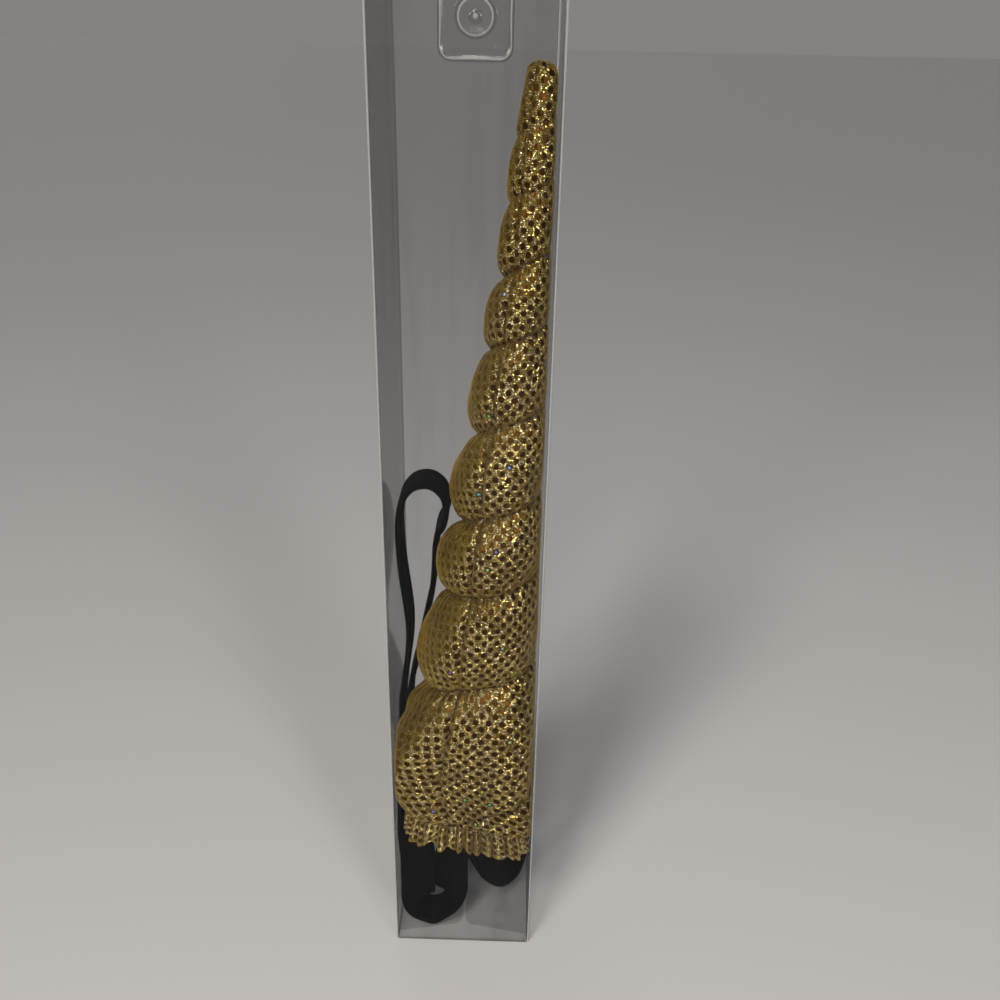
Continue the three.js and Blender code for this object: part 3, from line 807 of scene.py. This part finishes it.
# A skirt that widens as it drops and waves in and out, more at its free edge
def hemPoints(drop, angle):
    wave = unevenWave(angle, hem["folds"], 0.7) + 0.55 * unevenWave(angle, 1.7 * hem["folds"], 2.9)
    radius = (horn["hemRadius"] + hem["flare"] * drop) * squareness(np.zeros_like(angle), angle)
    radius = radius + hem["foldDepth"] * (0.3 + 0.7 * drop) * wave - hem["draw"] * (1 - drop) ** 3
    middleX, middleY = hornMiddle(np.array(0.0))
    x = middleX + radius * np.cos(angle)
    y = middleY + radius * np.sin(angle)
    edge = 1 + hem["edgeDrop"] / hem["length"] * unevenWave(angle, 21, 1.1) * drop
    z = horn["baseHeight"] - horn["baseTilt"] * radius * np.cos(angle) + 0.6 - (hem["length"] + 0.9) * drop * edge
    left = -innerHalfWidth + clearance + leg["thickness"] + 1.9 * clearance
    x = softMost(softLeast(x, innerHalfWidth - clearance, hem["softness"]), left, hem["softness"])
    y = softMost(y, -innerHalfDepth + clearance, hem["softness"])
    return np.stack([x, y, z], axis=-1), wave


def makeHem():
    drop = np.linspace(0, 1, hem["rows"] + 1)[:, None]
    angle = np.arange(hem["columns"] + 1)[None, :] / hem["columns"] * fullTurn
    drop, angle = drop + 0 * angle, angle + 0 * drop
    points, wave = hemPoints(drop, angle)
    steps = np.linalg.norm(np.diff(points, axis=1), axis=-1)
    along = np.concatenate([[0.0], np.cumsum(steps[-1])])
    down = np.linalg.norm(np.diff(points, axis=0), axis=-1)[:, :1]
    flatLength = float(down.sum())
    reach = horn["length"] + patternTurn["apexBeyond"] + drop * flatLength
    uv = np.stack([along[None, :] + 0 * drop, -reach], axis=-1) / clothLook["patternSpan"] + 0.5
    mesh = gridMesh("hem_ruffle", points[::-1, :-1], uv[::-1])
    # Painted shade: darker colour along the stitched top of the hem and in the valleys between its waves
    stitchPaintedShade = 0.75 * np.exp(-((drop / 0.16) ** 2))
    valleyPaintedShade = 0.6 * smoothStep(-1.4 * wave)
    markPoints(mesh, "fold", np.maximum(stitchPaintedShade, valleyPaintedShade)[::-1, :-1])
    markPoints(mesh, "dullAndPaintedShade", np.full_like(wave, hem["dullAndPaintedShade"])[::-1, :-1])
    piece = addPiece("hem_ruffle", mesh, "box", ["horn_hem"])
    wall = piece.modifiers.new("wall", "SOLIDIFY")
    wall.thickness = hem["thickness"] * mm
    wall.offset = -1
    piece.data.materials.append(makeClothMaterial("goldHem", 0.36, 2.0))
    return piece


hemRuffle = makeHem()
print("hem made")


# The elastic headband

band = {
    "width": 13.0,
    "thickness": 2.0,
    "edgeRadius": 0.8,
    "cornerSteps": 4,
    "faceSteps": 12,
    "steps": 420,
    "loopTop": 179.5,
    "floor": 1.4,
    "foldTurn": math.radians(80),
}
underBase = horn["baseHeight"] - clearance - band["thickness"] / 2
loopMiddle = band["loopTop"] - band["thickness"] / 2
foldMiddle = band["floor"] + band["thickness"] / 2
legInset = innerHalfWidth - 1.4 * clearance - band["thickness"] / 2
# the route once round: across as a share of the inner half width, back as a share of the
# inner half depth, and up as a share of the height named before it
bandRoute = [
    # across, back, from, up: the stitched stretch under the horn's base
    (0.4, -0.18, underBase, 0.93),
    (0.25, -0.33, underBase, 0.94),
    (0.11, -0.45, underBase, 0.94),
    # front fold
    (0, -0.55, underBase, 0.9),
    (-0.09, -0.53, underBase, 0.74),
    (-0.2, -0.5, underBase, 0.54),
    (-0.21, -0.5, underBase, 0.32),
    (-0.22, -0.54, underBase, 0.14),
    (-0.46, -0.57, foldMiddle, 1.05),
    (-0.7, -0.61, underBase, 0.14),
    (-0.705, -0.65, underBase, 0.32),
    (-0.705, -0.65, underBase, 0.54),
    (-0.72, -0.63, underBase, 0.7),
    # left leg
    (-0.82, -0.6, underBase, 0.8),
    (-0.925, -0.57, underBase, 0.885),
    (-0.94, -0.55, underBase, 0.94),
]
for t in (0, 0.25, 0.5, 0.75, 1):
    height = leg["lowHeight"] + (leg["highHeight"] - leg["lowHeight"]) * t
    bandRoute.append((-legInset / innerHalfWidth, float(legDepth(height)) / innerHalfDepth, height, 1))
bandRoute += [
    (-0.885, 0.02, loopMiddle, 0.588),
    (-0.83, 0.02, loopMiddle, 0.65),
    (-0.82, 0.02, loopMiddle, 0.7),
    (-0.85, 0.02, loopMiddle, 0.75),
    (-0.9, 0.02, loopMiddle, 0.81),
    (-0.93, 0.02, loopMiddle, 0.87),
    (-0.93, 0.02, loopMiddle, 0.925),
    # top of the loop
    (-0.86, 0.02, loopMiddle, 0.972),
    (-0.7, 0.02, loopMiddle, 0.997),
    (-0.5, 0.02, loopMiddle, 1),
    (-0.345, 0.03, loopMiddle, 0.982),
    (-0.295, 0.07, loopMiddle, 0.95),
    # right leg, behind the horn
    (-0.32, 0.14, loopMiddle, 0.92),
    (-0.412, 0.305, loopMiddle, 0.885),
    (-0.469, 0.45, loopMiddle, 0.845),
    (-0.495, 0.54, loopMiddle, 0.8),
    (-0.54, 0.6, loopMiddle, 0.73),
    (-0.65, 0.66, loopMiddle, 0.65),
    (-0.78, 0.7, loopMiddle, 0.56),
    (-0.91, 0.72, loopMiddle, 0.47),
    (-0.93, 0.72, loopMiddle, 0.38),
    (-0.88, 0.69, underBase, 1.04),
    # diagonal under the base to the right fold
    (-0.72, 0.62, underBase, 0.8),
    (-0.4, 0.38, underBase, 0.6),
    (-0.04, 0.18, underBase, 0.42),
    (0.13, 0.13, underBase, 0.26),
    (0.32, 0.11, underBase, 0.11),
    (0.56, 0.11, foldMiddle, 1),
    (0.77, 0.11, underBase, 0.13),
    (0.89, 0.11, underBase, 0.28),
    (0.92, 0.1, underBase, 0.44),
    (0.82, 0.07, underBase, 0.62),
    (0.71, 0.02, underBase, 0.78),
    (0.64, -0.02, underBase, 0.875),
    (0.54, -0.08, underBase, 0.92),
]


# A closed curve through the points, whose speed between two of them follows the square root
# of their distance, then points at even steps along its length
def closedRoute(stations, steps):
    before, here, after, beyond = (np.roll(stations, shift, axis=0) for shift in (1, 0, -1, -2))
    spanBefore = np.linalg.norm(here - before, axis=1)[:, None] ** 0.5
    span = np.linalg.norm(after - here, axis=1)[:, None] ** 0.5
    spanAfter = np.linalg.norm(beyond - after, axis=1)[:, None] ** 0.5
    leave = (here - before) / spanBefore - (after - before) / (spanBefore + span) + (after - here) / span
    arrive = (after - here) / span - (beyond - here) / (span + spanAfter) + (beyond - after) / spanAfter
    leave, arrive = leave * span, arrive * span
    t = (np.arange(40) / 40)[None, :, None]
    here, after, leave, arrive = (value[:, None, :] for value in (here, after, leave, arrive))
    fine = (
        here
        + leave * t
        + (-3 * here + 3 * after - 2 * leave - arrive) * t**2
        + (2 * here - 2 * after + leave + arrive) * t**3
    ).reshape(-1, 3)
    closed = np.vstack([fine, fine[:1]])
    reach = np.concatenate([[0.0], np.cumsum(np.linalg.norm(np.diff(closed, axis=0), axis=1))])
    at = np.linspace(0, reach[-1], steps + 1)[:-1]
    even = np.stack([np.interp(at, reach, closed[:, axis]) for axis in range(3)], axis=-1)
    return even, float(reach[-1])


# The section of the band: a flat rectangle with round corners, as offsets across its face and
# its width
def bandSection():
    turns = np.arange(band["cornerSteps"] + 1) / band["cornerSteps"] * math.pi / 2
    halfFace = band["thickness"] / 2 - band["edgeRadius"]
    halfWidth = band["width"] / 2 - band["edgeRadius"]
    outline = []
    for quarter, (faceSide, widthSide) in enumerate(((1, 1), (-1, 1), (-1, -1), (1, -1))):
        angles = turns + quarter * math.pi / 2
        corner = np.stack(
            [
                faceSide * halfFace + band["edgeRadius"] * np.cos(angles),
                widthSide * halfWidth + band["edgeRadius"] * np.sin(angles),
            ],
            axis=-1,
        )
        outline.append(corner)
        if quarter % 2 == 1:
            share = (np.arange(1, band["faceSteps"]) / band["faceSteps"])[:, None]
            toward = np.array([[corner[-1, 0], -corner[-1, 1]]])
            outline.append(corner[-1:] + (toward - corner[-1:]) * share)
    return np.concatenate(outline)


routeStations = np.array(
    [(across * innerHalfWidth, back * innerHalfDepth, base * up) for across, back, base, up in bandRoute]
)
ribbonMiddle, ribbonLength = closedRoute(routeStations, band["steps"])


# Both limbs of the front fold twist as they rise, and face the front halfway up
def foldTurn(middle):
    y, z = middle[:, 1], middle[:, 2]
    rise = smoothStep((z - 4) / 11) * smoothStep((47 - z) / 14)
    return -band["foldTurn"] * rise * smoothStep((-y - 8) / 4)


def makeBand():
    along = np.roll(ribbonMiddle, -1, axis=0) - np.roll(ribbonMiddle, 1, axis=0)
    along /= np.linalg.norm(along, axis=1)[:, None]
    face = np.cross(along, [0.0, 1.0, 0.0])
    face /= np.linalg.norm(face, axis=1)[:, None]
    wide = np.cross(face, along)
    turn = foldTurn(ribbonMiddle)[:, None]
    face, wide = face * np.cos(turn) - wide * np.sin(turn), wide * np.cos(turn) + face * np.sin(turn)
    section = bandSection()
    points = (
        ribbonMiddle[:, None, :]
        + face[:, None, :] * section[None, :, :1]
        + wide[:, None, :] * section[None, :, 1:]
    )
    acrossShare = np.append(section[:, 1], section[0, 1]) / band["width"] + 0.5
    alongShare = np.arange(band["steps"] + 1) / band["steps"]
    uv = np.stack(np.meshgrid(acrossShare, alongShare), axis=-1)
    mesh = gridMesh("elastic_band", points, uv, wrapRows=True)
    piece = addPiece("elastic_band", mesh, "box", ["headband_elastic"])
    piece.data.materials.append(makeElasticMaterial())
    return piece


elasticBand = makeBand()
print("elastic made:", round(ribbonLength), "mm round")


# The clear box

box = {
    "creaseRadius": 0.9,
    "creaseSteps": 4,
    "panelSteps": 14,
    "wallRows": 46,
    "floorRows": 8,
    "rollSteps": 4,
    # the corner whose crease has painted shade alone, with no pale line
    "shadedCorner": 1,  # at the rear left
    "bow": 0.22,
}


# The outline of a rectangle with round corners, from the middle of its right side round
def roundedOutline(halfWidth, halfDepth, radius, cornerSteps, sideSteps):
    outline = []
    marks = []
    corners = ((1, 1), (-1, 1), (-1, -1), (1, -1))
    for quarter, (sideX, sideY) in enumerate(corners):
        angles = (np.arange(cornerSteps + 1) / cornerSteps + quarter) * math.pi / 2
        arc = np.stack(
            [
                sideX * (halfWidth - radius) + radius * np.cos(angles),
                sideY * (halfDepth - radius) + radius * np.sin(angles),
            ],
            axis=-1,
        )
        outline.append(arc)
        # each corner's crease: painted dark edges with a pale line between, partly whitened fold and partly painted
        # highlight; the shaded corner has the dark alone
        middle = np.abs(np.arange(cornerSteps + 1) + 0.5 - cornerSteps / 2) < cornerSteps / 2 - 0.6
        marks.append(np.where(middle & (quarter != box["shadedCorner"]), 2, 1))
        marks[-1][-1] = 0
        nextX, nextY = corners[(quarter + 1) % 4]
        nextAngle = (quarter + 1) * math.pi / 2
        target = np.array(
            [
                nextX * (halfWidth - radius) + radius * math.cos(nextAngle),
                nextY * (halfDepth - radius) + radius * math.sin(nextAngle),
            ]
        )
        share = (np.arange(1, sideSteps) / sideSteps)[:, None]
        outline.append(arc[-1:] + (target - arc[-1:]) * share)
        marks.append(np.zeros(sideSteps - 1, int))
    return np.concatenate(outline), np.concatenate(marks)


# Floor rings that widen from the middle, a rounded roll into the walls, then wall rings up to
# the rim. The panels bow inwards a little between their creases.
def makeBox():
    halfWidth, halfDepth = wallHigh.x, wallHigh.y
    radius = box["creaseRadius"]
    outline, creases = roundedOutline(halfWidth, halfDepth, radius, box["creaseSteps"], box["panelSteps"])
    rings = []
    foldedRows = []
    for row in range(1, box["floorRows"] + 1):
        share = row / box["floorRows"]
        inner = outline * [(halfWidth - radius) / halfWidth, (halfDepth - radius) / halfDepth] * share
        rings.append(np.column_stack([inner, np.zeros(len(inner))]))
        foldedRows.append(False)
    innermost = rings[-1][:, :2]
    for step in range(1, box["rollSteps"] + 1):
        turn = step / box["rollSteps"] * math.pi / 2
        flat = innermost + (outline - innermost) * math.sin(turn)
        rings.append(np.column_stack([flat, np.full(len(flat), radius * (1 - math.cos(turn)))]))
        foldedRows.append(True)
    for row in range(1, box["wallRows"] + 1):
        height = radius + (wallHigh.z - radius) * row / box["wallRows"]
        bow = box["bow"] * math.sin(math.pi * row / box["wallRows"])
        fromCreaseX = 1 - (outline[:, 0] / halfWidth) ** 2
        fromCreaseY = 1 - (outline[:, 1] / halfDepth) ** 2
        onSide = np.abs(outline[:, 0]) >= halfWidth - 1e-6
        onFront = np.abs(outline[:, 1]) >= halfDepth - 1e-6
        flat = outline.copy()
        flat[:, 0] += np.where(onSide, np.sign(outline[:, 0]) * bow * fromCreaseY, 0)
        flat[:, 1] += np.where(onFront, np.sign(outline[:, 1]) * bow * fromCreaseX, 0)
        rings.append(np.column_stack([flat, np.full(len(flat), height)]))
        foldedRows.append(False)
    points = np.stack(rings)
    mesh = gridMesh("clear_box", points, lowPole=(0.0, 0.0, 0.0))
    piece = addPiece("clear_box", mesh, "box", ["box_body"])
    piece.data.materials.append(clearSheet)
    piece.data.materials.append(creasePaintedShade)
    piece.data.materials.append(creaseWhiteAndHighlight)
    rows, columns = points.shape[:2]
    # the creases and the roll into the floor take the painted shade and highlight materials
    aboveFloor = (np.arange(rows - 1) >= box["floorRows"] - 1)[:, None]
    slots = np.where(aboveFloor, creases[None, :], 0)
    slots = np.maximum(slots, np.array(foldedRows[1:])[:, None] * 1)
    slots = np.concatenate([slots.ravel(), np.zeros(columns, int)])
    mesh.polygons.foreach_set("material_index", slots.astype(np.int32))
    wall = piece.modifiers.new("wall", "SOLIDIFY")
    wall.thickness = sheetThickness * mm
    wall.offset = -1
    return piece


clearBox = makeBox()

pad = {
    "corner": 4.0,
    "edgeRound": 0.7,
    "bossRadius": 5.7,
    "bossRise": 1.5,
    "pipRadius": 0.8,
    "pipRise": 0.5,
    "columns": 96,
}


# A moulded rounded square: rings run in from its outline over a rolled edge, a flat, the round
# boss and its pip. Each ring blends from the square's outline to a circle.
def makePad():
    halfWidth, halfHeight = (padHigh.x - padLow.x) / 2, (padHigh.z - padLow.z) / 2
    middleZ = (padHigh.z + padLow.z) / 2
    back = padHigh.y
    thickness = padHigh.y - padLow.y - pad["bossRise"] - pad["pipRise"]
    angle = np.arange(pad["columns"]) / pad["columns"] * fullTurn
    # where a ray at this angle leaves a square with round corners
    reachX = halfWidth / np.maximum(np.abs(np.cos(angle)), 1e-6)
    reachZ = halfHeight / np.maximum(np.abs(np.sin(angle)), 1e-6)
    straight = np.minimum(reachX, reachZ)
    cornerX, cornerZ = halfWidth - pad["corner"], halfHeight - pad["corner"]
    along = cornerX * np.abs(np.cos(angle)) + cornerZ * np.abs(np.sin(angle))
    inside = along**2 - (cornerX**2 + cornerZ**2 - pad["corner"] ** 2)
    inCorner = (np.abs(np.cos(angle)) * straight > cornerX) & (np.abs(np.sin(angle)) * straight > cornerZ)
    square = np.where(inCorner, along + np.sqrt(np.maximum(inside, 0)), straight)
    roll = pad["edgeRound"]
    # kinds of face: 0 clear sheet, 1 painted dark outline, 2 pale line of whitening and painted highlight
    rings = []  # inset from the outline, share of the circle, rise, kind of face that ends there
    for inset, rise, kind in ((0.0, 0.0, 0), (0.0, thickness - roll, 1)):
        rings.append((square - inset, rise, kind))
    for turn in (0.33, 0.66, 1.0):
        swing = turn * math.pi / 2
        rings.append((square - roll * (1 - math.cos(swing)), thickness - roll * (1 - math.sin(swing)), 1))
    rings.append((square - 1.1, thickness, 2))
    rings.append((square - 1.7, thickness - 0.35, 1))
    rings.append((square - 2.7, thickness - 0.35, 0))
    boss = np.full_like(angle, pad["bossRadius"])
    rings.append(((square - 2.7 + boss + 0.5) / 2, thickness - 0.35, 0))
    rings.append((boss + 0.5, thickness - 0.35, 0))
    rings.append((boss, thickness, 1))
    rings.append((boss - 0.3, thickness + 0.7 * pad["bossRise"], 1))
    rings.append((boss - 0.9, thickness + pad["bossRise"], 2))
    rings.append((boss - 2.5, thickness + pad["bossRise"] - 0.5, 0))
    rings.append((boss * 0 + 2.2, thickness + pad["bossRise"] - 0.6, 0))
    rings.append((boss * 0 + pad["pipRadius"], thickness + pad["bossRise"] - 0.4, 1))
    rings.append((boss * 0 + 0.5, thickness + pad["bossRise"] + pad["pipRise"] - 0.1, 2))
    points = np.stack(
        [
            np.stack(
                [radius * np.cos(angle), back - rise + 0 * angle, middleZ + radius * np.sin(angle)],
                axis=-1,
            )
            for radius, rise, _ in rings
        ]
    )
    tip = (0.0, padLow.y, middleZ)
    mesh = gridMesh("moulded_pad", points, lowPole=(0.0, back, middleZ), highPole=tip)
    piece = addPiece("moulded_pad", mesh, "box", ["rear_pad"])
    # the pad's outlines take the painted shade, and its rim top, boss top and pip the pale painted highlight
    for material in (clearSheet, creasePaintedShade, creaseWhiteAndHighlight):
        piece.data.materials.append(material)
    kinds = np.repeat([kind for _, _, kind in rings[1:]], pad["columns"])
    fans = np.concatenate([np.zeros(pad["columns"], int), np.full(pad["columns"], 2)])
    mesh.polygons.foreach_set("material_index", np.concatenate([kinds, fans]).astype(np.int32))
    return piece


mouldedPad = makePad()
for name in ("box_lid", "floor_flap_left", "floor_flap_right"):
    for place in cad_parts[name].material_slots:
        place.material = clearSheet
print("box made")


# Floor and light

stage = {
    "floorHalf": 12.0,
    "floor": (0.43, 0.418, 0.413, 1),
    "horizon": (0.232, 0.223, 0.216, 1),
    "above": (0.05, 0.05, 0.052, 1),
    "worldStrength": 1.0,
    "clearLayers": 32,  # how many clear faces one ray may pass
}


def makeFloor():
    half = stage["floorHalf"]
    mesh = bpy.data.meshes.new("floor")
    mesh.from_pydata([(-half, -half, 0), (half, -half, 0), (half, half, 0), (-half, half, 0)], [], [(0, 1, 2, 3)])
    floor = bpy.data.objects.new("floor", mesh)
    bpy.context.scene.collection.objects.link(floor)
    made, _, surface = newMaterial("paleFloor")
    surface.inputs["Base Color"].default_value = stage["floor"]
    surface.inputs["Roughness"].default_value = 0.7
    mesh.materials.append(made)


def addLight(name, kind, place, target, size, energy, colour):
    data = bpy.data.lights.new(name, kind)
    if kind == "SUN":
        data.angle = size
    else:
        data.size = size
    data.energy = energy
    data.color = colour
    made = bpy.data.objects.new(name, data)
    made.location = place
    made.rotation_euler = (Vector(target) - Vector(place)).to_track_quat("-Z", "Y").to_euler()
    bpy.context.scene.collection.objects.link(made)


def makeLights():
    world = bpy.data.worlds.new("studio")
    world.use_nodes = True
    tree = world.node_tree
    sky = tree.nodes["Background"]
    look = addNode(tree, "ShaderNodeTexCoord", -700, 0)
    parts = addNode(tree, "ShaderNodeSeparateXYZ", -520, 0)
    tree.links.new(look.outputs["Generated"], parts.inputs["Vector"])
    up = spread(tree, -340, 0, parts.outputs["Z"], 0.05, 0.6)
    tree.links.new(mixColour(tree, -160, 0, up, stage["horizon"], stage["above"]), sky.inputs["Color"])
    sky.inputs["Strength"].default_value = stage["worldStrength"]
    bpy.context.scene.world = world
    middle = (0, 0, 0.17)
    addLight("sun", "SUN", (-0.6, -1.0, 1.5), (0, 0, 0), math.radians(14), 1.4, (1, 0.975, 0.94))
    addLight("key", "AREA", (-0.05, -1.0, 0.8), (0, 0, 0.2), 0.2, 4.5, (1, 0.97, 0.92))
    addLight("top", "AREA", (-0.15, -0.45, 0.62), (0.01, 0, 0.28), 0.08, 1.1, (1, 0.98, 0.93))
    addLight("fill", "AREA", (0.4, -0.6, 0.75), (0, 0, 0.24), 0.16, 1.4, (0.97, 0.98, 1))
    addLight("lamp", "AREA", (0.45, -0.85, 0.45), middle, 0.14, 3, (1, 0.98, 0.95))
    addLight("glow", "AREA", (-0.45, -0.8, 0.5), middle, 0.14, 3, (1, 0.96, 0.88))
    addLight("rear", "SUN", (-0.5, 1.2, 1.0), (0, 0, 0), math.radians(40), 0.3, (0.97, 0.98, 1))


makeFloor()
makeLights()
bpy.context.scene.cycles.transparent_max_bounces = stage["clearLayers"]
bpy.context.scene.view_settings.view_transform = "Standard"
print("floor and lights made")
